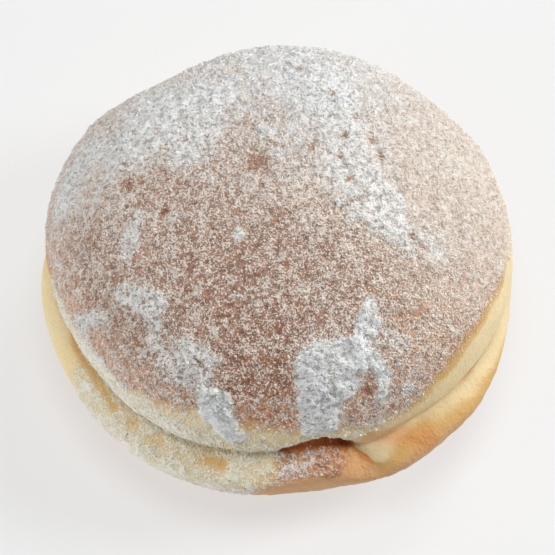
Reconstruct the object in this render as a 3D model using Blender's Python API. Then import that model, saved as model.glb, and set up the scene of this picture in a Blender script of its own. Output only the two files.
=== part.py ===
"""A bavarian cream doughnut: one round filled yeast doughnut, fried on both faces.

The dough is a single solid. A domed upper crust sits on a lower roll, and the
unfried dough between them is creased all round. At the front the roll is
pinched in where the cream was piped. The object stands on a flat foot.

Places on the skin are given by a bearing and a height. The bearing runs round
the doughnut in degrees: 0 faces the front (-Y), 90 the right (+X). The height
is in metres above the waist crease, and below it is negative.
"""

import math

import bmesh
import bpy
from mathutils import Vector

# Driving dimensions, in metres.
HEIGHT = 0.047
WAIST_HEIGHT = 0.0216
DOME_RADIUS = 0.0434
ROLL_RADIUS = 0.0457
FOOT_SINK = 0.004  # what the flat foot takes off the bottom of the roll

# How boxy the two halves are in profile: 2 is an ellipse.
DOME_FULLNESS = 2.34
ROLL_FULLNESS = 2.55

# Waves round the plan: (waves in a turn, height in metres, bearing of a crest).
DOME_WAVES = (
    (1, 0.0013, 175),
    (2, 0.0010, 88),
    (4, 0.0006, -18),
    (5, 0.0003, -35),
)
ROLL_WAVES = (
    (1, 0.0010, 15),
    (2, 0.0006, 0),
    (3, 0.0007, -57),
    (4, 0.0004, 25),
    (5, 0.0006, -22),
)

# The dome's plan gives way to the roll's between these heights.
BLEND_TOP = 0.0002
BLEND_BOTTOM = -0.0045

# The waist crease: a tight lip above, a softer shoulder below, and how deep it
# is along the waist: (name, bearing, half width in degrees, extra depth).
CREASE_DEPTH = 0.0013
CREASE_ABOVE = 0.0030
CREASE_BELOW = 0.0036
CREASE_REACHES = (
    ("left, under the overhanging dome", -58, 34, 0.0009),
    ("front", -6, 14, -0.0005),
    ("fold beside the pocket", 22, 7, -0.0009),
    ("soft part on the right", 42, 12, -0.0008),
    ("right", 68, 14, 0.0004),
    ("back", 180, 60, -0.0003),
)

# Swellings and dents of the side:
# (name, bearing, height, half width in degrees, half height, rise).
SIDE_SWELLINGS = (
    ("left shoulder", -60, 0.0110, 40, 0.0060, 0.0004),
    ("nose beside the pocket", 28, -0.0016, 6, 0.0026, 0.0012),
    ("lower crust below the nose", 29, -0.0070, 7, 0.0030, 0.0007),
    ("flat in front of the roll", 8, -0.0070, 8, 0.0035, -0.0006),
    ("flat on the right of the roll", 43, -0.0060, 7, 0.0060, -0.0005),
    ("bulge on the left of the roll", -88, -0.0060, 14, 0.0050, 0.0006),
    ("flat behind on the left", -146, 0.0090, 14, 0.0100, -0.0006),
    ("shoulder behind on the left", -128, 0.0090, 8, 0.0100, 0.0007),
    ("shoulder behind on the right", 118, 0.0090, 10, 0.0100, 0.0004),
    ("flat behind on the right", 141, 0.0090, 14, 0.0100, -0.0005),
)

# Swellings and dents of the crown:
# (name, x, y, half width in x, half width in y, rise).
CROWN_SWELLINGS = (
    ("back ridge", 0.012, 0.016, 0.012, 0.018, 0.0007),
    ("left dent", -0.004, 0.010, 0.009, 0.011, -0.0004),
    ("left mound", -0.022, 0.018, 0.010, 0.009, 0.0005),
)

# The pinch: a pocket (bearing, height, half width in degrees, half height) under
# the dome's lip, and a valley that runs off from it (bearing, height).
POCKET = (11, -0.0012, 8, 0.0020)
POCKET_DEPTH = 0.0055
VALLEY_START = (15, -0.0012)
VALLEY_END = (25, -0.0040)
VALLEY_HALF_WIDTH = 0.0013
VALLEY_DEPTH = 0.0026
# The lip arches up over the pocket and folds down on the right of it:
# (name, bearing, height, half width in degrees, half height, lift).
LIP_LIFTS = (
    ("arch over the pocket", 11, 0, 6.5, 0.0060, 0.0028),
    ("fold beside the pocket", 22, 0, 6, 0.0050, -0.0022),
)

# The mesh: rings are closest at the waist, segments closest at the pinch.
SEGMENTS = 96
RINGS = 48
RING_CROWDING = 1.6
SEGMENT_CROWDING = 0.6

CRUST_COLOUR = (0.52, 0.25, 0.10, 1.0)
CRUST_ROUGHNESS = 0.75


def wave_sum(base, waves, bearing):
    """base with its waves round the plan added, at a bearing."""
    heights = (
        height * math.cos(math.radians(count * (bearing - crest)))
        for count, height, crest in waves
    )
    return base + sum(heights)


def turn_between(first, second):
    """The signed angle from the second bearing to the first, -180 to 180."""
    return (first - second + 180) % 360 - 180


def smooth_step(value):
    """0 below 0, 1 above 1, and a smooth ramp between."""
    value = min(max(value, 0), 1)
    return value * value * (3 - 2 * value)


def bell(across, half_width):
    """A smooth bump: 1 at the middle, 0.37 at half_width."""
    return math.exp(-((across / half_width) ** 2))


def round_over(across, half_width):
    """A quarter round: 1 at the middle, 0 from half_width on."""
    share = min(abs(across) / half_width, 1)
    return 1 - math.sqrt(1 - (1 - share) ** 2)


def patch(bearing, height, place):
    """A round-edged patch at (bearing, height, half width, half height)."""
    middle_bearing, middle_height, half_width, half_height = place
    across = bell(turn_between(bearing, middle_bearing), half_width)
    return across * bell(height - middle_height, half_height)


def patch_sum(bearing, height, patches):
    """What a list of named patches adds up to at a place on the skin."""
    return sum(rise * patch(bearing, height, place) for _, *place, rise in patches)


def crease(bearing, height):
    """How far the waist crease is sunk in."""
    depth = CREASE_DEPTH
    for _, middle, half_width, extra in CREASE_REACHES:
        depth += extra * bell(turn_between(bearing, middle), half_width)
    half = CREASE_ABOVE if height > 0 else CREASE_BELOW
    return depth * round_over(height, half)


def valley(bearing, height):
    """How far the valley beside the pinch is sunk in."""
    metres_per_degree = math.radians(ROLL_RADIUS)
    start, end, here = (
        Vector((turn_between(place, VALLEY_START[0]) * metres_per_degree, level))
        for place, level in (VALLEY_START, VALLEY_END, (bearing, height))
    )
    run = end - start
    along = min(max((here - start).dot(run) / run.length_squared, 0), 1)
    across = (here - start - run * along).length
    return VALLEY_DEPTH * bell(across, VALLEY_HALF_WIDTH)


def crown_rise(x, y):
    """What the swellings and dents of the crown add to its height."""
    return sum(
        rise * bell(x - middle_x, half_x) * bell(y - middle_y, half_y)
        for _, middle_x, middle_y, half_x, half_y, rise in CROWN_SWELLINGS
    )


def skin_point(bearing, latitude):
    """A point of the skin; latitude is 90 at the crown, 0 at the waist, -90 below."""
    turn = math.radians(bearing)
    tilt = math.radians(latitude)
    fullness = DOME_FULLNESS if latitude > 0 else ROLL_FULLNESS
    reach = max(math.cos(tilt), 0) ** (2 / fullness)
    climb = abs(math.sin(tilt)) ** (2 / fullness)
    if latitude > 0:
        height = (HEIGHT - WAIST_HEIGHT) * climb
    else:
        height = -(WAIST_HEIGHT + FOOT_SINK) * climb

    dome = wave_sum(DOME_RADIUS, DOME_WAVES, bearing)
    roll = wave_sum(ROLL_RADIUS, ROLL_WAVES, bearing)
    share = smooth_step((BLEND_TOP - height) / (BLEND_TOP - BLEND_BOTTOM))
    radius = (dome + (roll - dome) * share) * reach
    radius -= crease(bearing, height)
    radius -= valley(bearing, height) + POCKET_DEPTH * patch(bearing, height, POCKET)
    radius += patch_sum(bearing, height, SIDE_SWELLINGS)
    lift = patch_sum(bearing, height, LIP_LIFTS)

    x = radius * math.sin(turn)
    y = -radius * math.cos(turn)
    if latitude > 0:
        lift += crown_rise(x, y) * smooth_step(climb)
    return Vector((x, y, max(WAIST_HEIGHT + height + lift, 0)))


def crowded_latitude(latitude):
    """Draws evenly spaced latitudes together at the waist."""
    share = abs(latitude) / 90
    return math.copysign(90 * share ** RING_CROWDING, latitude)


def crowded_bearing(bearing):
    """Draws evenly spaced bearings together at the pinch."""
    away = math.radians(turn_between(bearing, POCKET[0]))
    return bearing - SEGMENT_CROWDING * math.degrees(math.sin(away))


def make_material():
    material = bpy.data.materials.new("fried_crust")
    material.use_nodes = True
    shader = material.node_tree.nodes["Principled BSDF"]
    shader.inputs["Base Color"].default_value = CRUST_COLOUR
    shader.inputs["Roughness"].default_value = CRUST_ROUGHNESS
    material.diffuse_color = CRUST_COLOUR
    return material


def centre_in_plan(shape):
    """Shifts the shape until its bounds are centred on the origin, seen from above."""
    for axis in (0, 1):
        places = [vertex.co[axis] for vertex in shape.verts]
        middle = (min(places) + max(places)) / 2
        for vertex in shape.verts:
            vertex.co[axis] -= middle


def make_doughnut(collection):
    """A sphere whose points are moved to the doughnut's skin."""
    mesh = bpy.data.meshes.new("doughnut")
    shape = bmesh.new()
    bmesh.ops.create_uvsphere(shape, u_segments=SEGMENTS, v_segments=RINGS, radius=1)
    for vertex in shape.verts:
        bearing = math.degrees(math.atan2(vertex.co.x, -vertex.co.y))
        latitude = math.degrees(math.asin(min(max(vertex.co.z, -1), 1)))
        vertex.co = skin_point(crowded_bearing(bearing), crowded_latitude(latitude))
    centre_in_plan(shape)
    bmesh.ops.triangulate(shape, faces=shape.faces)
    shape.to_mesh(mesh)
    shape.free()
    mesh.shade_smooth()
    mesh.materials.append(make_material())
    doughnut = bpy.data.objects.new("doughnut", mesh)
    collection.objects.link(doughnut)
    return doughnut


def main():
    for leftover in list(bpy.data.objects):
        bpy.data.objects.remove(leftover)
    collection = bpy.data.collections.new("bavarian_cream_doughnut")
    bpy.context.scene.collection.children.link(collection)
    make_doughnut(collection)


main()
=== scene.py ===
"""The looks of a bavarian cream doughnut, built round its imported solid.

A fine skin replaces the solid. It has the fried crusts, the pale waist between
them, the crease and the pinch, and the sugar that lies thick enough to be felt.
Loose powdered sugar sits on it in three sizes: dust, grains and crumbs.

A place on the skin is given by its bearing and its slope, both in degrees and
seen from a point inside, the core. Bearing 0 is the front (-Y), 90 the right
(+X). Slope 90 is the crown. Lengths are in millimetres of a doughnut 47 tall.
"""

import math
import statistics

import bmesh
import bpy
import numpy as np
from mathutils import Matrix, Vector, noise
from mathutils.bvhtree import BVHTree


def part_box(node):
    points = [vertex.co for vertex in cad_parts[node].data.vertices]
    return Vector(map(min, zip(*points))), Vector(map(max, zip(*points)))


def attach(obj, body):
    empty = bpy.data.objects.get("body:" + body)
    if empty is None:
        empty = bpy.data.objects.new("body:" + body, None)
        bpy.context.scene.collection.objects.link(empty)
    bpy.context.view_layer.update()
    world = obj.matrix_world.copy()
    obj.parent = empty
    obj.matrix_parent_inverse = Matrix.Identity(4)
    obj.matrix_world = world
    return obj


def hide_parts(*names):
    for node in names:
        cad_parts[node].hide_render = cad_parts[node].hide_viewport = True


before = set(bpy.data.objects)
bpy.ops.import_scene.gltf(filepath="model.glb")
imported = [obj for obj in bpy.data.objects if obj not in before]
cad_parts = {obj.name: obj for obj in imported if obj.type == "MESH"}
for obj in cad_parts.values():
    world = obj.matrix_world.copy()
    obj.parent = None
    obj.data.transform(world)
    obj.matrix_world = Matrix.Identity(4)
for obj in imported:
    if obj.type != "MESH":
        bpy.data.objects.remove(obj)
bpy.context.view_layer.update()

LOW, HIGH = (Vector(corner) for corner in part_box("doughnut"))

# Heights above the floor, and one of these millimetres in metres.
HEIGHT = 47
CORE_HEIGHT = 28.3
MIDDLE_HEIGHT = 23
WAIST = 21.6
MM = (HIGH.z - LOW.z) / HEIGHT
CORE = Vector((0, 0, LOW.z + CORE_HEIGHT * MM))
MIDDLE = Vector((0, 0, MIDDLE_HEIGHT * MM))
WAIST_SLOPE = -9.5  # the crease's usual slope

# The fine skin: a cube of this many cells a side, blown up to the doughnut.
SKIN_CELLS = 128

# How high above the waist the brown crust of the dome ends, by bearing.
DOME_EDGE = (
    (-180, 7), (-130, 6), (-90, 3), (-70, 6), (-45, 6.5), (-20, 10), (0, 8),
    (12, 6), (25, 4), (35, 5), (45, 8.5), (55, 10), (75, 9.5), (95, 7), (180, 7),
)
# How far below the waist the fried crust of the roll starts, by bearing.
ROLL_EDGE = (
    (-180, 8), (-60, 10), (-20, 9), (-12, 6.5), (-5, 2.8), (3, 1.4), (8, 1.1),
    (14, 0.8), (17, 1.6), (19, 2.5), (22, 3.7), (24, 4.4), (26, 4.2), (28, 2.8),
    (31, 1.4), (38, 0.3), (50, 1.1), (65, 2.2), (80, 4.2), (120, 7), (180, 8),
)
# How high above the waist the sugar ends, by bearing: it leaves the right side bare.
SUGAR_FOOT = (
    (-180, -11), (-120, -9), (-95, 0.5), (-66, 0.3), (-57, -4), (-50, -11),
    (-10, -11), (-5, -7), (0, -3.9), (6, -3.0), (12, -2.4), (17, -2.6), (20, -0.2),
    (24, 2.0), (30, 2.8), (35, 3.8), (41, 6.1), (47, 9.0), (54, 9.9), (64, 10.3),
    (76, 9.4), (90, 6), (120, 3), (150, -5), (180, -11),
)
# How high above the waist the sugar of the dome takes over from the lip's.
LIP_TOP = (
    (-180, 5.5), (-100, 5.5), (-75, 8.5), (-55, 9.5), (-25, 8), (-8, 5.5), (180, 5.5),
)

# The sugar on the dome: (name, bearing, slope, share of the crust that specks of
# it hide, how far a veil of fine dust pales the crust between them).
DOME_SUGAR = (
    ("crown", 2, 62, 0.33, 0.08),
    ("behind the crown", 123, 74, 0.60, 0.28),
    ("left of the crown", -77, 33, 0.36, 0.08),
    ("right of the crown", 54, 56, 0.44, 0.14),
    ("front", -14, 28, 0.31, 0.05),
    ("front, low", -10, 12, 0.25, 0.00),
    ("front left", -48, 34, 0.36, 0.08),
    ("front left, low", -33, 9, 0.42, 0.06),
    ("front right", 29, 39, 0.40, 0.08),
    ("right of the clump", 38, 18, 0.42, 0.08),
    ("lip on the right", 34, 2, 0.50, 0.15),
    ("right, low", 47, 11, 0.38, 0.08),
    ("right", 61, 15, 0.42, 0.26),
    ("right, high", 84, 27, 0.55, 0.60),
    ("far right", 76, 15, 0.52, 0.60),
    ("back right", 113, 17, 0.66, 0.70),
    ("ridge", 145, 46, 0.82, 0.45),
    ("back", 176, 19, 0.84, 0.70),
    ("back left", -147, 17, 0.82, 0.70),
    ("back, beside the ridge", -155, 47, 0.62, 0.35),
    ("left, high", -105, 55, 0.44, 0.12),
    ("left, middle", -108, 33, 0.52, 0.15),
    ("left, back", -108, 18, 0.54, 0.30),
    ("left side", -71, 13, 0.42, 0.10),
    ("left rim", -101, 11, 0.64, 0.45),
    ("left rim, front", -84, 7, 0.50, 0.20),
)
# The same on the lip of the dome and the roll below it, where there is no veil.
WAIST_SUGAR = (
    ("lip, far left", -70, -4, 0.72, 0),
    ("lip, left", -52, -4, 0.92, 0),
    ("lip, front left", -34, -5, 0.86, 0),
    ("lip, front", -20, -5, 0.72, 0),
    ("lip before the pocket", -5, -7, 0.70, 0),
    ("lip over the pocket", 8, -6, 0.55, 0),
    ("roll, far left", -66, -11, 0.06, 0),
    ("roll, left", -54, -11, 0.66, 0),
    ("roll, rim on the left", -44, -14, 0.90, 0),
    ("roll, front left", -38, -11, 0.70, 0),
    ("roll, rim on the front left", -28, -15, 0.90, 0),
    ("roll, front", -20, -12, 0.66, 0),
    ("roll, rim in front", -12, -15, 0.85, 0),
    ("roll, left of the pocket", -4, -11, 0.48, 0),
    ("roll, below the pocket", 9, -11, 0.50, 0),
    ("lip, on the right", 75, -4, 0, 0),
    ("lip, back right", 125, -4, 0.05, 0),
    ("lip, back", 180, -4, 0.25, 0),
    ("lip, back left", -130, -4, 0.30, 0),
    ("roll, on the right", 75, -11, 0, 0),
    ("roll, back right", 125, -11, 0, 0),
    ("roll, back", 180, -11, 0, 0),
    ("roll, back left", -130, -11, 0, 0),
    ("roll, behind on the left", -90, -11, 0, 0),
)
# How far the sugar of one place in these two tables reaches round it.
DOME_REACH = 16
WAIST_REACH = 8

# Thick sugar: (name, thickness, the places it runs through, each a bearing, a
# slope and the half width there).
DRIFTS = (
    ("back left", 0.42, ((-112, 24, 4), (-124, 25, 6), (-134, 24, 4), (-144, 29, 5))),
    ("back left, upper", 0.4, ((-136, 36, 4), (-120, 41, 3))),
    ("left, running down", 0.4, ((-112, 13, 4), (-104, 9, 2), (-97, 9, 2.5))),
    ("back left, thick", 0.65, ((-136, 23, 2.0), (-131, 30, 2.4), (-125, 33, 1.6))),
    ("back blob", 0.6, ((-156, 30, 2.6),)),
    ("ridge, back", 0.35, ((176, 19, 4), (161, 32, 5), (141, 40, 3), (122, 45, 4))),
    (
        "ridge, right", 0.6,
        ((112, 49, 5), (101, 49, 4.5), (88, 45, 4.5), (80, 40, 4), (74, 34, 3)),
    ),
    ("ridge, right foot", 0.25, ((74, 34, 3), (73, 24, 2.6))),
    ("clump, upper lobe", 0.7, ((40, 29, 0.8), (36, 25, 1.5), (32, 22, 2.0))),
    ("clump, top", 0.85, ((15, 20, 2.8), (26, 18, 2.8))),
    ("clump, left", 1.2, ((12, 18, 2.8), (12, 13, 3.2), (12, 8, 3.2), (12, 4, 3.0))),
    ("clump, middle", 0.9, ((20, 14, 2.6), (19, 11, 1.8))),
    ("clump, beside the hole", 0.7, ((30, 16, 1.5), (32, 11, 1.2), (29, 6, 1.0))),
    ("right of the clump", 0.2, ((33, 20, 1.8), (38, 19, 2.0), (40, 15, 1.6))),
    ("lip, right of the clump", 0.2, ((37, 4, 1.3),)),
    ("front clump", 1.3, ((-19, 10, 2.1), (-16.5, 7, 2.9), (-14.5, 3, 2.5))),
    ("front clump, foot", 0.9, ((-12, 0, 1.6), (-9, -1, 1.3))),
    ("above the front clump", 0.38, ((-31, 18, 2.2), (-26, 17, 2.8), (-22, 14, 1.8))),
    ("front left", 0.42, ((-58, 19, 1.8), (-52, 21, 2.6), (-48, 24, 1.8))),
    ("front left, foot", 0.3, ((-48, 21, 1.6), (-42, 19, 1.2))),
    ("front left, thin", 0.2, ((-40, 16, 1.4), (-32, 13, 2.2), (-25, 12, 1.2))),
    ("left spots", 0.4, ((-63, 3, 1.3), (-61, 7, 1.1), (-59, 10, 1.4))),
    ("on the lip", 0.22, ((-72, -5, 1.2), (-60, -4, 2), (-48, -5, 1.6), (-24, -5, 2))),
    ("crown spot", 0.6, ((-40, 59, 0.8),)),
    ("left streak", 0.3, ((-84, 31, 0.7), (-77, 28, 1.3), (-70, 24, 0.9))),
    ("back spots", 0.5, ((-172, 51, 1.2),)),
    ("back spot, near the crown", 0.4, ((-178, 65, 1.0),)),
)
# Where the crust shows through: (name, share of the sugar gone, half width, place).
DENTS = (
    ("by the crown", 0.95, 2.2, (-154, 66)),
    ("left", 0.85, 1.6, (-99, 28)),
    ("hole in the clump", 0.95, 1.3, (26, 9)),
)
# Small pits, most of them in the ridge: (share of the sugar gone, half width, place).
PITS = (
    (0.9, 0.8, (125, 38)), (0.8, 0.7, (136, 44)), (0.9, 0.8, (114, 39)),
    (0.8, 0.7, (124, 52)), (0.7, 0.6, (140, 36)), (0.9, 0.8, (74, 31)),
    (0.8, 0.6, (71, 27)), (0.7, 0.6, (88, 19)), (0.8, 0.9, (-82, 38)),
    (0.7, 0.6, (156, 32)), (0.8, 0.7, (104, 53)), (0.7, 0.6, (146, 57)),
    (0.7, 0.6, (172, 24)),
)
# The valley that runs off from the pinch (bearing, slope), and the fold beside it
# (bearing, slope, half width). Both are darkened with painted shade.
VALLEY = ((18, -12.5), (21, -13.8), (24, -14.4))
FOLD = ((24, -8, 3), (30, -10, 3.5), (38, -12, 3.5))
# How far from the doughnut's middle line the pocket of the pinch starts and ends.
POCKET_MOUTH = 41.3
POCKET_BOTTOM = 39.4

# The sizes of the noise that makes edges wander and the sugar patchy.
ROUGH_SIZES = (9, 4, 1.8, 1.0)
PIT_NOISE = (1.5, 61)  # size and seed of what breaks up the thinner drifts
# The skin's relief: (height, size of the noise, seed of the noise).
BROAD_LUMPS = (0.16, 7, 31)
SMALL_LUMPS = (0.09, 2.6, 32)
CRUST_CRAGS = (0.18, 1.4, 33)
WRINKLES = (0.08, 4.0, 34)
FINE_GRIT = (0.20, 1.0, 35)
COARSE_GRIT = (0.34, 1.8, 36)
CLODS = (0.65, 2.8, 37)
WRINKLE_STRETCH = (1, 1, 4.5)
GROOVE_DEPTH = 0.50
DRIFT_HEIGHT = 0.42
SPECK_HEIGHT = 0.10

# Loose sugar: (piece, kind of lump, number of lumps, their smallest and largest
# size, power that draws them to where the sugar is close).
LOOSE_SUGAR = (
    ("sugar_dust", "dust", 49500, (0.26, 0.46), 1.0),
    ("sugar_grains", "grain", 9900, (0.30, 0.55), 1.0),
    ("sugar_crumbs", "crumb", 2400, (0.36, 0.60), 2.0),
)
BROAD_CLUSTERS = (1.5, 51)  # size and seed of the noise that gathers the lumps
SMALL_CLUSTERS = (0.9, 52)
SEED = 20

# Colours on the screen, 0 to 255. Pairs are mixed by noise or by a share.
PALE_DOUGH = ((238, 211, 156), (247, 229, 188))
GOLDEN_DOUGH = ((219, 173, 98), (227, 186, 121))
DARK_CRUST = ((126, 80, 54), (184, 132, 100))
LIGHT_CRUST = ((184, 120, 78), (222, 164, 120))
LOWER_CRUST = ((215, 160, 104), (226, 179, 129))
# Painted shade in the crease and in the pinch's pocket, valley and fold:
FOLD_SHADE = ((216, 140, 76), (202, 116, 62))
THIN_SUGAR = ((250, 243, 222), (243, 231, 220))  # on pale dough, on the crusts
# The heaviest drifts, the clumps in front, are painted greyer as shade.
THICK_SUGAR_AND_SHADE = ((246, 247, 246), (234, 235, 235))  # outside the heaviest drifts, in them
# Painted shade, multiplied into the colour in the hollows of the fine relief:
HOLLOW_SHADE = ((216, 213, 209), (192, 192, 190))  # outside all drifts, in them
WAIST_SUGAR_WHITE = (248, 243, 228)
WARM_SUGAR = (250, 235, 219)
WHITE = (255, 255, 255)

# Soft lights: (name, bearing, slope, width in metres, power). Their distance from
# the doughnut and the size of the floor are in metres too.
LIGHTS = (
    ("light_right", 97, 36, 0.3, 3.6),
    ("light_left", -90, 35, 0.4, 0.4),
    ("light_above", 0, 88, 0.4, 2.6),
    ("light_behind", 150, 45, 0.3, 1.7),
    ("light_low_left", -66, 6, 0.4, 3.2),
)
LIGHT_DISTANCE = 0.8
FLOOR_SIZE = 16
FLOOR_CELLS = 32
FLOOR_TINTS = ((0.285, 0.285, 0.285, 1), (0.295, 0.295, 0.295, 1))
FLOOR_GLOW = 0.598
WORLD_GLOW = 0.02

# The camera stands in front, a little to the right. Its distance is in metres.
CAMERA_SLOPE = 61
CAMERA_DISTANCE = 0.6
CAMERA_ASIDE = Vector((0.0005, 0, 0))
CAMERA_TARGET = Vector((0.0002, -0.0035, 21.1 * MM))
CAMERA_LENS = 204
CAMERA_SENSOR = 36


def bell(across, half_width):
    """A smooth bump: 1 at the middle, 0.37 at half_width."""
    return np.exp(-((across / half_width) ** 2))


def ramp(value, start, end):
    """0 at start, 1 at end, and smooth between."""
    share = np.clip((value - start) / (end - start), 0, 1)
    return share * share * (3 - 2 * share)


def near(bearing, middle, inner, outer):
    """1 within inner degrees of a bearing, 0 from outer degrees on."""
    return ramp(np.abs(bearing - middle), outer, inner)


def away_from(bearing, middle, inner, outer):
    """0 within inner degrees of a bearing, 1 from outer degrees on."""
    return ramp(np.abs(bearing - middle), inner, outer)


def by_bearing(table, bearing):
    """Reads a short table of (bearing, value) all round the doughnut."""
    bearings, values = zip(*table)
    return np.interp(bearing, bearings, values)


def grain_noise(points, size, seed, stretch=(1, 1, 1)):
    """Smooth noise from -1 to 1, whose lumps are about size millimetres."""
    scale = Vector(stretch) / (size * MM)
    shift = Vector((seed * 17.3, seed * -9.1, seed * 5.7))
    return np.array([noise.noise(Vector(point) * scale + shift) for point in points])


def direction(bearing, slope):
    """The unit vector that points along a bearing and a slope."""
    turn, tilt = math.radians(bearing), math.radians(slope)
    level = math.cos(tilt)
    return Vector((level * math.sin(turn), -level * math.cos(turn), math.sin(tilt)))


def place_on_skin(tree, bearing, slope):
    """Where a ray from the core at a bearing and slope leaves the solid."""
    return tree.ray_cast(CORE, direction(bearing, slope))[0]


def distance_to_run(points, tree, places):
    """How far each point is from the line through the places on the skin.

    In millimetres, or in half widths where the places give a half width too.
    """
    stops = [np.array(place_on_skin(tree, *place[:2])) for place in places]
    widths = [place[2] if len(place) > 2 else 1 for place in places]
    nearest = np.linalg.norm(points - stops[0], axis=1) / widths[0]
    for place in range(1, len(stops)):
        run = stops[place] - stops[place - 1]
        along = np.clip((points - stops[place - 1]) @ run / (run @ run), 0, 1)
        away = np.linalg.norm(points - stops[place - 1] - along[:, None] * run, axis=1)
        width = widths[place - 1] + (widths[place] - widths[place - 1]) * along
        nearest = np.minimum(nearest, away / width)
    return nearest / MM


def smooth_solid():
    """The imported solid, rounded between its facets, ready for rays."""
    shape = bmesh.new()
    shape.from_mesh(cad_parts["doughnut"].data)
    bmesh.ops.remove_doubles(shape, verts=shape.verts, dist=1e-6)
    bmesh.ops.join_triangles(
        shape, faces=shape.faces, angle_face_threshold=0.7, angle_shape_threshold=1.0
    )
    mesh = bpy.data.meshes.new("smooth_solid")
    shape.to_mesh(mesh)
    shape.free()
    solid = bpy.data.objects.new("smooth_solid", mesh)
    bpy.context.scene.collection.objects.link(solid)
    rounding = solid.modifiers.new("rounding", "SUBSURF")
    rounding.levels = rounding.render_levels = 2
    graph = bpy.context.evaluated_depsgraph_get()
    tree = BVHTree.FromObject(solid, graph)
    bpy.data.objects.remove(solid)
    bpy.data.meshes.remove(mesh)
    return tree


def find_crease(tree):
    """The crease's slope, where the skin is most hollow, every 3 degrees round."""
    bearings = np.arange(-180, 180, 3)
    slopes = np.arange(-17, -1, 0.2)
    step = 5  # the hollow is measured against the slopes this far to each side
    found = []
    for bearing in bearings:
        reach = np.array(
            [(place_on_skin(tree, bearing, slope) - CORE).length for slope in slopes]
        )
        hollow = reach[: -2 * step] + reach[2 * step:] - 2 * reach[step:-step]
        found.append(slopes[step + int(hollow.argmax())])
    found = np.array(found)
    around = np.stack([np.roll(found, shift) for shift in (-1, 0, 1)])
    return bearings, np.median(around, axis=0)


def arc_table(tree):
    """Slopes from the crown down, and the share of the skin's rows above each.

    The rows follow the length of the skin from crown to foot. They lie closer
    together at the waist and further apart underneath.
    """
    slopes = np.linspace(90, -90, 721)
    bearings = range(0, 360, 30)
    reach = np.zeros((len(slopes), 2))
    for bearing in bearings:
        for row, slope in enumerate(slopes):
            place = place_on_skin(tree, bearing, slope)
            reach[row] += (math.hypot(place.x, place.y), place.z)
    steps = np.linalg.norm(np.diff(reach / len(bearings), axis=0), axis=1)
    middle = (slopes[1:] + slopes[:-1]) / 2
    need = 1 + 1.8 * bell(middle - WAIST_SLOPE, 2.2) - 0.7 * ramp(middle, -35, -50)
    share = np.concatenate([[0], np.cumsum(steps * need)])
    return share / share[-1], slopes


def blown_cube(cells):
    """A cube cut into cells and blown up to a unit sphere."""
    shape = bmesh.new()
    bmesh.ops.create_cube(shape, size=2)
    bmesh.ops.subdivide_edges(
        shape, edges=shape.edges, cuts=cells - 1, use_grid_fill=True
    )
    mesh = bpy.data.meshes.new("doughnut_skin")
    shape.to_mesh(mesh)
    shape.free()
    points = np.empty(len(mesh.vertices) * 3, np.float32)
    mesh.vertices.foreach_get("co", points)
    points = np.tan(points.reshape(-1, 3).astype(float) * math.pi / 4)
    return mesh, points / np.linalg.norm(points, axis=1)[:, None]


def mesh_normals(mesh, points):
    """Moves the mesh to the points and returns its vertex normals."""
    mesh.vertices.foreach_set("co", points.astype(np.float32).ravel())
    mesh.update()
    normals = np.empty(len(points) * 3, np.float32)
    mesh.vertex_normals.foreach_get("vector", normals)
    return normals.reshape(-1, 3).astype(float)


def wrap_skin(tree):
    """The cube blown up onto the solid, its rows drawn together at the crease.

    Also gives each point's place, its bearing and its height above the crease.
    """
    mesh, rays = blown_cube(SKIN_CELLS)
    bearing = np.degrees(np.arctan2(rays[:, 0], -rays[:, 1]))
    slope = np.degrees(np.arcsin(np.clip(rays[:, 2], -1, 1)))
    share, slopes = arc_table(tree)
    slope = np.interp((90 - slope) / 180, share, slopes)
    crease_bearings, crease_slopes = find_crease(tree)
    crease = np.interp(bearing, crease_bearings, crease_slopes, period=360)
    slope += (crease - WAIST_SLOPE) * bell(slope - WAIST_SLOPE, 8)
    points = np.array(
        [place_on_skin(tree, turn, tilt) for turn, tilt in zip(bearing, slope)]
    )
    waist = np.array(
        [place_on_skin(tree, *place).z for place in zip(crease_bearings, crease_slopes)]
    )
    waist = np.interp(bearing, crease_bearings, waist, period=360)
    return mesh, points, bearing, (points[:, 2] - waist) / MM


def sway_of(rough):
    """How far an edge wanders from its line, in millimetres."""
    return 1.0 * rough[9] + 0.7 * rough[4] + 0.5 * rough[1.8]


def crusts(rise, bearing, rough):
    """How fried the dough is: 1 on the two crusts, 0 on the pale waist between."""
    sway = sway_of(rough)
    start = -2.2 - 1.6 * bell(bearing - 46, 16)
    dome = ramp(rise + sway - by_bearing(DOME_EDGE, bearing), start, 2.4)
    crisp = near(bearing, 12, 10, 17)
    depth = -rise + 0.5 * sway * (1 - crisp) - by_bearing(ROLL_EDGE, bearing)
    softness = 3.4 + 2.5 * near(bearing, 75, 25, 45)
    roll = ramp(depth / (1 - 0.7 * crisp), -1.2, softness)
    return np.maximum(dome, roll)


def pinch_depth(points, rise, bearing, rough):
    """Where the mouth of the pinch is, and how deep in it: 1 in the bottom."""
    reach = np.hypot(points[:, 0], points[:, 1]) / MM
    mouth = near(bearing, 10, 8, 12) * ramp(rise, 0.9, 0.3) * ramp(rise, -9, -7)
    deep = ramp(reach + 0.5 * rough[1.8], POCKET_MOUTH, POCKET_BOTTOM) * mouth
    return mouth, deep


def crease_shade_share(tree, points, rise, bearing, rough, deep):
    """How much painted shade darkens the dough in the crease, in the pocket of the pinch,
    along its valley and in the fold beside it.
    """
    valley = distance_to_run(points, tree, VALLEY) + 0.4 * rough[1.8]
    # A thin line of painted shade along the crease, darkest by the dimple on the right.
    line = bell(rise + 0.1, 0.5) * away_from(bearing, 13, 9, 15)
    line *= 0.12 + 0.14 * bell(bearing - 45, 28) + 0.36 * bell(bearing - 59, 4)
    fold = 0.33 * bell(distance_to_run(points, tree, FOLD), 1)
    return np.maximum.reduce((deep, 0.45 * ramp(valley, 1.1, 0.1), line, fold))


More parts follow.
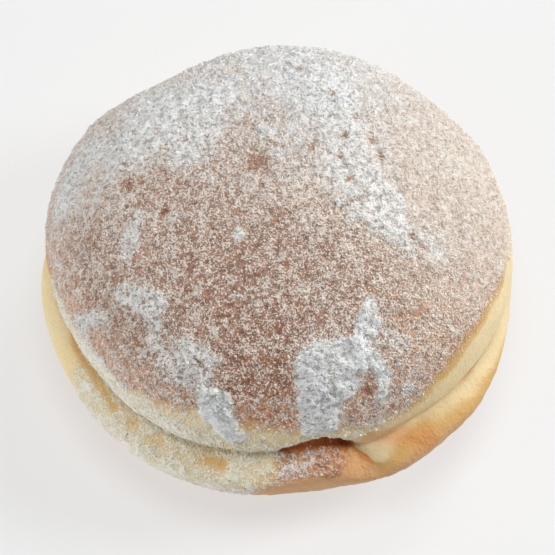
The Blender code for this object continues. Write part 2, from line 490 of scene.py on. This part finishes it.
def golden_lane(rise, bearing, rough):
    """The bare golden strip under the lip, on the left and in front."""
    along = ramp(bearing, -73, -63) * ramp(bearing, -5, -14)
    forward = ramp(bearing, -56, -38)
    broken = 1 - (0.4 + 0.8 * rough[4]) * forward
    middle = -1.1 - 0.7 * forward
    half_width = 0.65 + 0.5 * forward + 0.3 * rough[4]
    return bell(rise - middle, half_width) * along * np.clip(broken, 0, 1)


def dough_fields(tree, points, rise, bearing, rough):
    """How fried and how brown the dough is, the painted shade of the crease and the
    pinch, how deep in the pinch, and the lane.
    """
    mouth, deep = pinch_depth(points, rise, bearing, rough)
    pinch = crease_shade_share(tree, points, rise, bearing, rough, deep)
    lane = golden_lane(rise, bearing, rough)
    in_mouth = mouth * ramp(rise + 0.5 * rough[1.8], -3.6, -2.6)
    fried = np.maximum(crusts(rise, bearing, rough), ramp(deep, 0.0, 0.4))
    fried = np.maximum.reduce((fried, in_mouth, 0.38 * lane))
    brown_mouth = mouth * ramp(rise + rough[1.8], -4, -2.4)
    browned = np.maximum(ramp(rise, -1.5, 0.5), brown_mouth)
    return fried, browned, pinch, deep, lane


def spread_sugar(tree, points, rough):
    """How thick the drifts of sugar lie, and the share of the crust that they hide."""
    drift = np.zeros(len(points))
    spread = np.zeros(len(points))
    for _, thickness, places in DRIFTS:
        away = distance_to_run(points, tree, places)
        patchy = 1.3 - 0.5 * thickness
        away += patchy * (0.65 * rough[4] + 0.75 * rough[1.8] + 0.5 * rough[1.0])
        soft = max(0.6 - 0.25 * thickness, 0.3)
        drift = np.maximum(drift, thickness * ramp(away, 1 + soft, 1 - soft))
        reach = ramp(away, 1.2 + soft, 1.2 - soft)
        spread = np.maximum(spread, min(0.35 + thickness, 1) * reach)
    pits = ramp(grain_noise(points, *PIT_NOISE), 0.30, 0.46) * ramp(drift, 0.9, 0.5)
    return drift * (1 - 0.6 * pits), spread * (1 - 0.75 * pits)


def share_left(tree, points, rough):
    """The share of the sugar that is left where the crust shows through."""
    left = np.ones(len(points))
    for *_, gone, half_width, place in DENTS + PITS:
        away = distance_to_run(points, tree, (place,)) / half_width
        left *= 1 - gone * bell(away + 0.3 * rough[1.8] + 0.4 * rough[1.0], 1.1)
    return left


def shared_out(points, tree, table, reach):
    """A table's last two columns, spread between its places over reach millimetres."""
    total = np.zeros((2, len(points)))
    weights = np.zeros(len(points))
    for _, bearing, slope, *values in table:
        away = distance_to_run(points, tree, ((bearing, slope),)) / reach
        weight = (1 + away**2) ** -4
        total += np.outer(values, weight)
        weights += weight
    return total / weights


def thin_sugar(tree, points, rise, bearing, rough):
    """The share of the crust hidden away from the drifts, and the veil over it."""
    dome = shared_out(points, tree, DOME_SUGAR, DOME_REACH)
    waist = shared_out(points, tree, WAIST_SUGAR, WAIST_REACH)
    lip_top = by_bearing(LIP_TOP, bearing)
    share, veil = dome + (waist - dome) * ramp(rise, lip_top, lip_top - 3)
    lumps = 0.08 * rough[9] + 0.11 * rough[4] + 0.26 * rough[1.8] + 0.28 * rough[1.0]
    lumps *= (1 + 0.4 * ramp(rise, 5, 1)) * ramp(share, 0.02, 0.3)
    return np.clip(share + lumps, 0.25 * share, 0.97), veil


def sugar_fields(tree, points, rise, bearing, rough, deep, lane):
    """The sugar's drifts, its specks, the veil between them and the share left."""
    drift, spread = spread_sugar(tree, points, rough)
    cover, veil = thin_sugar(tree, points, rise, bearing, rough)
    left = share_left(tree, points, rough)
    drift = drift * left
    cover = (1 - (1 - cover) * (1 - 0.98 * spread)) * left
    foot = rise + 0.4 * sway_of(rough) - by_bearing(SUGAR_FOOT, bearing)
    softness = 1 + 1.2 * near(bearing, 55, 20, 35)
    cover *= ramp(foot / softness, -0.9, 1.1)
    cover *= (1 - ramp(deep + 0.4 * rough[1.0], 0.3, 0.9)) * (1 - 0.85 * lane)
    haze = np.clip(0.25 * ramp(cover, 0.0, 0.9) + veil * ramp(foot, 0, 2), 0, 0.9)
    return drift, cover, haze * (0.4 + 0.6 * left), left


def skin_fields(tree, points, bearing):
    """What the dough and the sugar are like at each point of the skin."""
    rough = {size: grain_noise(points, size, seed=size) for size in ROUGH_SIZES}
    rise = (points[:, 2] - LOW.z) / MM - WAIST
    fried, browned, pinch, deep, lane = dough_fields(tree, points, rise, bearing, rough)
    drift, cover, haze, left = sugar_fields(
        tree, points, rise, bearing, rough, deep, lane
    )
    on_right = ramp(bearing, 25, 60) * ramp(bearing, 160, 110)
    dark = ramp(rise - 7 * bell(bearing - 50, 24), 4, 18)
    return {
        "fried": fried,
        "browned": browned,
        # the painted shade of the crease and the pinch
        "pinch": pinch,
        "sugar": cover,
        "haze": haze,
        "drift": drift,
        "warm": on_right * (1 - 0.6 * ramp(drift, 0, 0.3)),
        "top": np.maximum(dark, 1 - left),
    }


def skin_relief(points, bearing, rise, fields):
    """How far the skin stands out from the smooth solid, in millimetres."""

    def bumps(height, size, seed, stretch=(1, 1, 1)):
        return height * grain_noise(points, size, seed, stretch)

    cover, drift = fields["sugar"], fields["drift"]
    lumps = bumps(*BROAD_LUMPS) + bumps(*SMALL_LUMPS)
    lumps *= ramp(rise, -16, -10)
    crust = bumps(*CRUST_CRAGS) * fields["fried"]
    on_waist = bell(rise + 0.5, 4.5) * (1 - 0.8 * cover)
    wrinkles = bumps(*WRINKLES, WRINKLE_STRETCH) * on_waist
    open_share = away_from(bearing, 13, 10, 16) * (1 - 0.75 * bell(bearing - 42, 14))
    groove = -GROOVE_DEPTH * bell(rise + 0.1, 0.35) * (1 - 0.7 * cover) * open_share
    sugar = DRIFT_HEIGHT * drift + SPECK_HEIGHT * ramp(cover, 0.2, 0.8)
    grit = bumps(*FINE_GRIT) + bumps(*COARSE_GRIT)
    grit *= ramp(cover, 0.1, 0.7) * (0.55 + 0.45 * ramp(rise, 2, 6))
    clods = bumps(*CLODS) * ramp(drift, 0.05, 0.5)
    return lumps + crust + wrinkles + groove + sugar + grit + clods


def hidden_level(share):
    """Where smooth noise must be cut for this share of it to lie above the cut."""
    shares = np.linspace(0.01, 0.99, 99)
    levels = [statistics.NormalDist().inv_cdf(1 - part) for part in shares]
    return np.interp(share, shares, levels)


def store(mesh, name, values):
    """Keeps a number for each vertex for the material to read."""
    kept = mesh.attributes.new(name, "FLOAT", "POINT")
    kept.data.foreach_set("value", values.astype(np.float32))


def make_skin(tree):
    """The doughnut's skin with its relief, and what its material needs to know."""
    mesh, points, bearing, rise = wrap_skin(tree)
    fields = skin_fields(tree, points, bearing)
    normals = mesh_normals(mesh, points)
    relief = skin_relief(points, bearing, rise, fields)
    points = points + normals * (relief * MM)[:, None]
    points[:, 2] = np.maximum(points[:, 2], LOW.z)
    normals = mesh_normals(mesh, points)
    fields["bare_level"] = hidden_level(fields["sugar"])
    for name, values in fields.items():
        store(mesh, name, values)
    mesh.shade_smooth()
    skin = bpy.data.objects.new("doughnut_skin", mesh)
    bpy.context.scene.collection.objects.link(skin)
    return skin, points, normals, rise, fields


def lump_template(kind):
    """Corners and triangles of one small lump of sugar."""
    shape = bmesh.new()
    if kind == "dust":
        bmesh.ops.create_cone(
            shape, segments=3, radius1=0.95, radius2=0, depth=1.35, cap_ends=True
        )
    else:
        rounds = {"grain": 1, "crumb": 2}[kind]
        bmesh.ops.create_icosphere(shape, subdivisions=rounds, radius=1)
    bmesh.ops.triangulate(shape, faces=shape.faces)
    corners = np.array([vertex.co[:] for vertex in shape.verts])
    faces = np.array([[vertex.index for vertex in face.verts] for face in shape.faces])
    shape.free()
    return corners, faces


def skin_triangles(mesh):
    """The numbers of the three corners of each triangle of the skin."""
    mesh.calc_loop_triangles()
    triangles = np.empty(len(mesh.loop_triangles) * 3, np.int32)
    mesh.loop_triangles.foreach_get("vertices", triangles)
    return triangles.reshape(-1, 3)


def random_places(triangles, points, normals, density, count, random):
    """Random places on the skin: the triangle, the place and the way out of each."""
    corners = points[triangles]
    area = np.linalg.norm(
        np.cross(corners[:, 1] - corners[:, 0], corners[:, 2] - corners[:, 0]), axis=1
    )
    chance = area * density[triangles].mean(axis=1)
    chosen = triangles[random.choice(len(triangles), count, p=chance / chance.sum())]
    weights = random.dirichlet((1, 1, 1), count)[:, :, None]
    places = (points[chosen] * weights).sum(axis=1)
    outward = (normals[chosen] * weights).sum(axis=1)
    return chosen, places, outward / np.linalg.norm(outward, axis=1)[:, None]


def random_turns(count, random):
    """Random turning matrices."""
    first = random.normal(size=(count, 3))
    second = np.cross(first, random.normal(size=(count, 3)))
    third = np.cross(first, second)
    axes = np.stack([first, second, third], axis=1)
    return axes / np.linalg.norm(axes, axis=2)[:, :, None]


def random_lumps(lump, sizes, outward, random):
    """Uneven, turned lumps in millimetres, sunk into the skin or lifted a little."""
    count = len(outward)
    smallest, largest = sizes
    size = smallest + (largest - smallest) * random.random(count) ** 2
    shapes = lump[None] * random.uniform(0.7, 1.25, (count, 1, 3))
    shapes = shapes * random.uniform(0.8, 1.2, (count, len(lump), 1))
    shapes = np.einsum("nij,nkj->nki", random_turns(count, random), shapes)
    lift = (random.uniform(-0.30, 0.20, count) * size)[:, None, None]
    return shapes * (size / 2)[:, None, None] + outward[:, None] * lift


def mesh_of_lumps(name, shapes, faces):
    """One mesh of all the lumps, with none of them below the floor."""
    count, corners, _ = shapes.shape
    vertices = shapes.reshape(-1, 3)
    vertices[:, 2] = np.maximum(vertices[:, 2], LOW.z)
    indices = (faces[None] + (np.arange(count) * corners)[:, None, None]).ravel()
    starts = np.arange(0, len(indices), 3, dtype=np.int32)
    mesh = bpy.data.meshes.new(name)
    mesh.vertices.add(len(vertices))
    mesh.vertices.foreach_set("co", vertices.astype(np.float32).ravel())
    mesh.loops.add(len(indices))
    mesh.loops.foreach_set("vertex_index", indices.astype(np.int32))
    mesh.polygons.add(len(starts))
    mesh.polygons.foreach_set("loop_start", starts)
    mesh.update()
    mesh.validate()
    return mesh


def sugar_density(points, rise, sugar):
    """How closely loose sugar lies: in small clusters, and mostly on the dome."""
    clusters = 0.5 + grain_noise(points, *BROAD_CLUSTERS)
    clusters += 0.5 * grain_noise(points, *SMALL_CLUSTERS)
    density = sugar * (1 - 0.6 * ramp(sugar, 0.7, 1)) * np.clip(1.5 * clusters, 0.1, 2)
    return density * (0.25 + 0.75 * ramp(rise, 0, 6))


def scatter_sugar(skin, points, normals, rise, fields):
    """The loose sugar: one piece of each kind, made of many lumps on the skin."""
    random = np.random.default_rng(SEED)
    triangles = skin_triangles(skin.data)
    density = sugar_density(points, rise, fields["sugar"])
    material = sugar_material()
    for name, kind, count, sizes, power in LOOSE_SUGAR:
        chosen, places, outward = random_places(
            triangles, points, normals, density**power, count, random
        )
        lump, faces = lump_template(kind)
        shapes = random_lumps(lump, sizes, outward, random)
        mesh = mesh_of_lumps(name, places[:, None] + shapes * MM, faces)
        for key in ("fried", "browned", "sugar", "drift", "warm"):
            store(mesh, key, np.repeat(fields[key][chosen].mean(axis=1), len(lump)))
        mesh.shade_smooth()
        mesh.materials.append(material)
        piece = bpy.data.objects.new(name, mesh)
        bpy.context.scene.collection.objects.link(piece)
        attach(piece, "root")


def colour(screen):
    """A screen colour, 0 to 255, as the linear colour that a shader takes."""
    shares = [part / 255 for part in screen]
    linear = [
        share / 12.92 if share <= 0.04045 else ((share + 0.055) / 1.055) ** 2.4
        for share in shares
    ]
    return (*linear, 1.0)


class Nodes:
    """A short way to add and join the nodes of one material."""

    def __init__(self, name):
        self.material = bpy.data.materials.new(name)
        self.material.use_nodes = True
        self.tree = self.material.node_tree
        self.shader = self.tree.nodes["Principled BSDF"]

    def join(self, socket, value):
        """Links another node's outcome to a socket, or sets a constant on it."""
        if isinstance(value, bpy.types.NodeSocket):
            self.tree.links.new(value, socket)
        else:
            socket.default_value = value

    def fill(self, node, **inputs):
        """Joins a node's inputs, each named with _ for a space."""
        for key, value in inputs.items():
            self.join(node.inputs[key.replace("_", " ")], value)

    def add(self, kind, settings=None, **inputs):
        """A new node with its settings and inputs."""
        node = self.tree.nodes.new(kind)
        for key, value in (settings or {}).items():
            setattr(node, key, value)
        self.fill(node, **inputs)
        return node

    def kept(self, name):
        """A number that the mesh keeps for each vertex."""
        return self.add("ShaderNodeAttribute", {"attribute_name": name}).outputs["Fac"]

    def noise(self, size, detail=2.0, rough=0.5):
        """Noise whose lumps are about size millimetres, 0 to 1."""
        place = self.add("ShaderNodeTexCoord").outputs["Object"]
        node = self.add(
            "ShaderNodeTexNoise", Vector=place, Scale=1 / (size * MM), Detail=detail,
            Roughness=rough,
        )
        return node.outputs["Fac"]

    def curls(self, size):
        """Noise that is high along curling lines, spread as plain noise is."""
        away = self.maths("SUBTRACT", self.noise(size, 1), 0.5)
        return self.maths("MULTIPLY_ADD", self.maths("ABSOLUTE", away), -1.66, 0.62)

    def maths(self, operation, *values):
        """What a sum of one, two or three values comes to."""
        node = self.add("ShaderNodeMath", {"operation": operation})
        for socket, value in zip(node.inputs, values):
            self.join(socket, value)
        return node.outputs[0]

    def ramp(self, value, start, end, low=0.0, high=1.0):
        """low at start, high at end, and smooth between."""
        node = self.add(
            "ShaderNodeMapRange", {"interpolation_type": "SMOOTHSTEP"}, Value=value,
            From_Min=start, From_Max=end, To_Min=low, To_Max=high,
        )
        return node.outputs["Result"]

    def mix(self, share, first, second, blend="MIX"):
        """Two colours mixed by a share of the second."""
        node = self.add("ShaderNodeMix", {"data_type": "RGBA", "blend_type": blend})
        self.join(node.inputs["Factor"], share)
        self.join(node.inputs[6], first)
        self.join(node.inputs[7], second)
        return node.outputs[2]

    def between(self, share, pair):
        """A pair of screen colours mixed by a share of the second."""
        first, second = pair
        return self.mix(share, colour(first), colour(second))

    def bump(self, height, distance):
        """A bump of this many millimetres."""
        node = self.add("ShaderNodeBump", Height=height, Distance=distance * MM)
        return node.outputs["Normal"]


def sugar_colour(nodes):
    """White where the sugar is thick, greyer with painted shade in the heaviest drifts;
    thin sugar takes on the dough under it.
    """
    on_crust = nodes.ramp(nodes.kept("fried"), 0.2, 0.8)
    in_drift = nodes.ramp(nodes.kept("drift"), 0.1, 0.6)
    # The heaviest drifts get the greyer colour as painted shade.
    heavy_shade = nodes.ramp(nodes.kept("drift"), 0.75, 1.1)
    white = nodes.maths("MAXIMUM", on_crust, in_drift)
    thin = nodes.between(on_crust, THIN_SUGAR)
    powder = nodes.between(heavy_shade, THICK_SUGAR_AND_SHADE)
    thick = nodes.mix(white, colour(WAIST_SUGAR_WHITE), powder)
    sugar = nodes.mix(nodes.ramp(nodes.kept("sugar"), 0.35, 1.0), thin, thick)
    tint = nodes.maths("MULTIPLY", nodes.kept("warm"), 0.55)
    return nodes.mix(tint, sugar, colour(WARM_SUGAR))


def painted_hollow_shade(nodes, surface, relief):
    """The surface's colour, darkened with painted shade in the hollows of the dome's fine
    relief.
    """
    on_crust = nodes.ramp(nodes.kept("fried"), 0.4, 1.0)
    on_dome = nodes.maths("MULTIPLY", on_crust, nodes.kept("browned"))
    depth = nodes.maths("MULTIPLY", nodes.ramp(relief, 0.54, 0.36), on_dome)
    dark = nodes.between(nodes.kept("drift"), HOLLOW_SHADE)
    shade = nodes.mix(depth, colour(WHITE), dark)
    return nodes.mix(1.0, surface, shade, "MULTIPLY")


def dough_colour(nodes):
    """Pale on the waist, golden at the crusts' edges, tan below and brown above, and
    darker with painted shade in the crease and the pinch.
    """
    fried, pinch, browned = (nodes.kept(name) for name in ("fried", "pinch", "browned"))
    cloud, mottle = nodes.noise(7, 3), nodes.noise(1.6, 3)
    spots = nodes.ramp(nodes.noise(0.7, 2), 0.35, 0.65)
    darkness = nodes.ramp(nodes.maths("ADD", nodes.kept("top"), mottle), 0.9, 1.5)
    light, dark = (nodes.between(spots, pair) for pair in (LIGHT_CRUST, DARK_CRUST))
    upper = nodes.mix(darkness, light, dark)
    lower = nodes.between(mottle, LOWER_CRUST)
    # The pinch attribute carries the painted shade of the crease and the pinch.
    fold_shade = nodes.between(nodes.ramp(pinch, 0.4, 1.0), FOLD_SHADE)
    pale, golden = (nodes.between(cloud, pair) for pair in (PALE_DOUGH, GOLDEN_DOUGH))
    dough = nodes.mix(nodes.ramp(fried, 0.05, 0.40), pale, golden)
    crust = nodes.mix(browned, lower, upper)
    dough = nodes.mix(nodes.ramp(fried, 0.40, 1.0), dough, crust)
    return nodes.mix(nodes.ramp(pinch, 0.1, 0.5), dough, fold_shade)


def speck_field(nodes):
    """Above 0 in the specks of sugar, which close up where it is thick."""
    coarse = nodes.maths("MULTIPLY", nodes.curls(1.1), 0.45)
    field = nodes.maths("MULTIPLY_ADD", nodes.noise(0.34, 1), 0.55, coarse)
    level = nodes.maths("MULTIPLY_ADD", nodes.kept("bare_level"), 0.08, 0.5)
    return nodes.maths("SUBTRACT", field, level)


def skin_bump(nodes, field, relief):
    """Fine relief in millimetres: pores in the crust, specks and lumps in the sugar."""
    pore_depth = nodes.ramp(nodes.kept("fried"), 0.1, 0.9, 0.12, 0.30)
    pores = nodes.maths("MULTIPLY", nodes.noise(0.6, 2), pore_depth)
    lump_height = nodes.ramp(nodes.kept("sugar"), 0.1, 1.0, 0.28, 0.75)
    lumps = nodes.maths("MULTIPLY", relief, lump_height)
    specks = nodes.ramp(field, -0.12, 0.12, 0.0, 0.20)
    height = nodes.maths("ADD", nodes.maths("ADD", specks, pores), lumps)
    return nodes.bump(height, 1.0)


def skin_material():
    """Fried dough with specks, drifts and a veil of sugar on it."""
    nodes = Nodes("fried_dough")
    field = speck_field(nodes)
    mask = nodes.ramp(field, -0.05, 0.05)
    # One noise gives the lumps of the bump and the painted shade in their hollows.
    relief = nodes.noise(1.0, 3, 0.6)
    sugar = sugar_colour(nodes)
    dough = nodes.mix(nodes.kept("haze"), dough_colour(nodes), sugar)
    crust_roughness = nodes.ramp(nodes.noise(1.6, 3), 0.3, 0.7, 0.5, 0.62)
    nodes.fill(
        nodes.shader,
        Base_Color=painted_hollow_shade(nodes, nodes.mix(mask, dough, sugar), relief),
        Roughness=nodes.maths("MULTIPLY_ADD", mask, 0.3, crust_roughness),
        Normal=skin_bump(nodes, field, relief),
        Specular_IOR_Level=0.35,
        Subsurface_Weight=0.12,
        Subsurface_Radius=(1.0, 0.6, 0.3),
        Subsurface_Scale=1.2 * MM,
    )
    return nodes.material


def sugar_material():
    """Loose powdered sugar."""
    nodes = Nodes("powdered_sugar")
    # Painted shade darkens the hollows of the sugar's fine relief.
    nodes.fill(
        nodes.shader,
        Base_Color=painted_hollow_shade(nodes, sugar_colour(nodes), nodes.noise(0.7, 3, 0.6)),
        Roughness=nodes.ramp(nodes.noise(0.3), 0.3, 0.7, 0.85, 1.0),
        Normal=nodes.bump(nodes.noise(0.16, 2), 0.05),
        Specular_IOR_Level=0.1,
    )
    return nodes.material


def floor_material():
    """A pale matte floor with a glow of its own."""
    nodes = Nodes("pale_floor")
    nodes.fill(
        nodes.shader,
        Base_Color=nodes.mix(nodes.noise(60, 2), *FLOOR_TINTS),
        Roughness=0.9,
        Specular_IOR_Level=0.1,
        Emission_Color=(1, 1, 1, 1),
        Emission_Strength=FLOOR_GLOW,
    )
    return nodes.material


def aim(thing, target):
    """Points a camera's or a light's -Z at the target."""
    thing.rotation_mode = "QUATERNION"
    thing.rotation_quaternion = (target - thing.location).to_track_quat("-Z", "Y")


def add_light(name, bearing, slope, width, power):
    """A round soft light, aimed at the middle of the doughnut."""
    light = bpy.data.lights.new(name, "AREA")
    light.shape = "DISK"
    light.size = width
    light.energy = power
    lamp = bpy.data.objects.new(name, light)
    lamp.location = MIDDLE + LIGHT_DISTANCE * direction(bearing, slope)
    aim(lamp, MIDDLE)
    bpy.context.scene.collection.objects.link(lamp)


def make_stage():
    """The floor, the lights and the world."""
    bpy.ops.mesh.primitive_grid_add(
        x_subdivisions=FLOOR_CELLS, y_subdivisions=FLOOR_CELLS, size=FLOOR_SIZE
    )
    floor = bpy.context.active_object
    floor.name = "floor"
    floor.location = (0, 0, LOW.z)
    floor.data.materials.append(floor_material())
    for light in LIGHTS:
        add_light(*light)
    world = bpy.data.worlds.new("studio")
    world.use_nodes = True
    background = world.node_tree.nodes["Background"]
    background.inputs["Color"].default_value = (1, 1, 1, 1)
    background.inputs["Strength"].default_value = WORLD_GLOW
    bpy.context.scene.world = world
    bpy.context.scene.view_settings.view_transform = "Standard"


def make_camera():
    """The camera, which looks down on the front of the doughnut."""
    data = bpy.data.cameras.new("camera")
    data.sensor_width = CAMERA_SENSOR
    data.lens = CAMERA_LENS
    data.clip_start = 0.01
    camera = bpy.data.objects.new("camera", data)
    camera.location = MIDDLE + CAMERA_ASIDE + CAMERA_DISTANCE * direction(0, CAMERA_SLOPE)
    aim(camera, CAMERA_TARGET)
    bpy.context.scene.collection.objects.link(camera)
    bpy.context.scene.camera = camera


def main():
    skin, points, normals, rise, fields = make_skin(smooth_solid())
    skin.data.materials.append(skin_material())
    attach(skin, "root")
    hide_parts("doughnut")
    scatter_sugar(skin, points, normals, rise, fields)
    make_stage()
    make_camera()


main()
